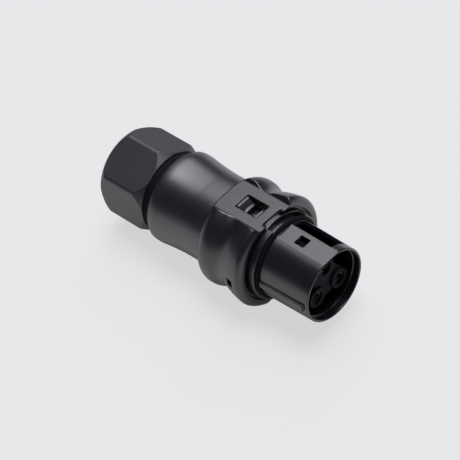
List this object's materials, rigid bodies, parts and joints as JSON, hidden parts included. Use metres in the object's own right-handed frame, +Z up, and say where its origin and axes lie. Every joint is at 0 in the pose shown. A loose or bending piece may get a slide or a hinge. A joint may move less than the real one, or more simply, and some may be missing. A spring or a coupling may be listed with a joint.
{
  "type": "inline socket connector",
  "caption": "Round inline socket connector with a keyed nose, latched gripping collar, waisted housing and hexagon cable gland nut.",
  "frame": {"origin": "on the connector's axis, halfway along its length", "axes": "+X along the axis out of the mouth, +Z up through the top latch window"},
  "size_m": [0.0866, 0.0372, 0.0334],
  "materials": {
    "nose_plastic": "satin moulded black",
    "collar_plastic": "satin moulded black",
    "body_plastic": "satin moulded black",
    "nut_plastic": "satin moulded black",
    "cage_plastic": "matt dark grey",
    "insert_plastic": "matt black",
    "seal_rubber": "matt black rubber",
    "contact_brass": "tin plated, slightly warm",
    "terminal_brass": "machined brass",
    "screw_steel": "zinc plated"
  },
  "bodies": {
    "housing": {"contact_housing": "nose_plastic", "lock_collar": "collar_plastic", "rear_housing": "body_plastic", "neck_ring": "seal_rubber", "clamp_cage": "cage_plastic", "cable_seal": "seal_rubber", "body_seal": "seal_rubber", "flange_seal": "seal_rubber", "contact_insert": "insert_plastic", "wire_guide": "insert_plastic", "socket_contact_1": "contact_brass", "socket_contact_2": "contact_brass", "socket_contact_3": "contact_brass", "terminal_block_1": "terminal_brass", "terminal_block_2": "terminal_brass", "terminal_block_3": "terminal_brass", "clamp_screw_1": "screw_steel", "clamp_screw_2": "screw_steel", "clamp_screw_3": "screw_steel"},
    "slip": {"slip_ring": "cage_plastic"},
    "nut": {"gland_nut": "nut_plastic"}
  },
  "joints": [
    {"name": "nut_travel", "type": "slide", "parent": "housing", "child": "slip", "axis": [1, 0, 0], "range_m": [-0.006, 0]},
    {"name": "nut_turn", "type": "hinge", "parent": "slip", "child": "nut", "pos_m": [-0.033, 0, 0], "axis": [1, 0, 0], "range_deg": [-1440, 0]}
  ],
  "couplings": [
    {"joint": "nut_travel", "follows": "nut_turn", "m_per_rad": 0.0002387}
  ]
}
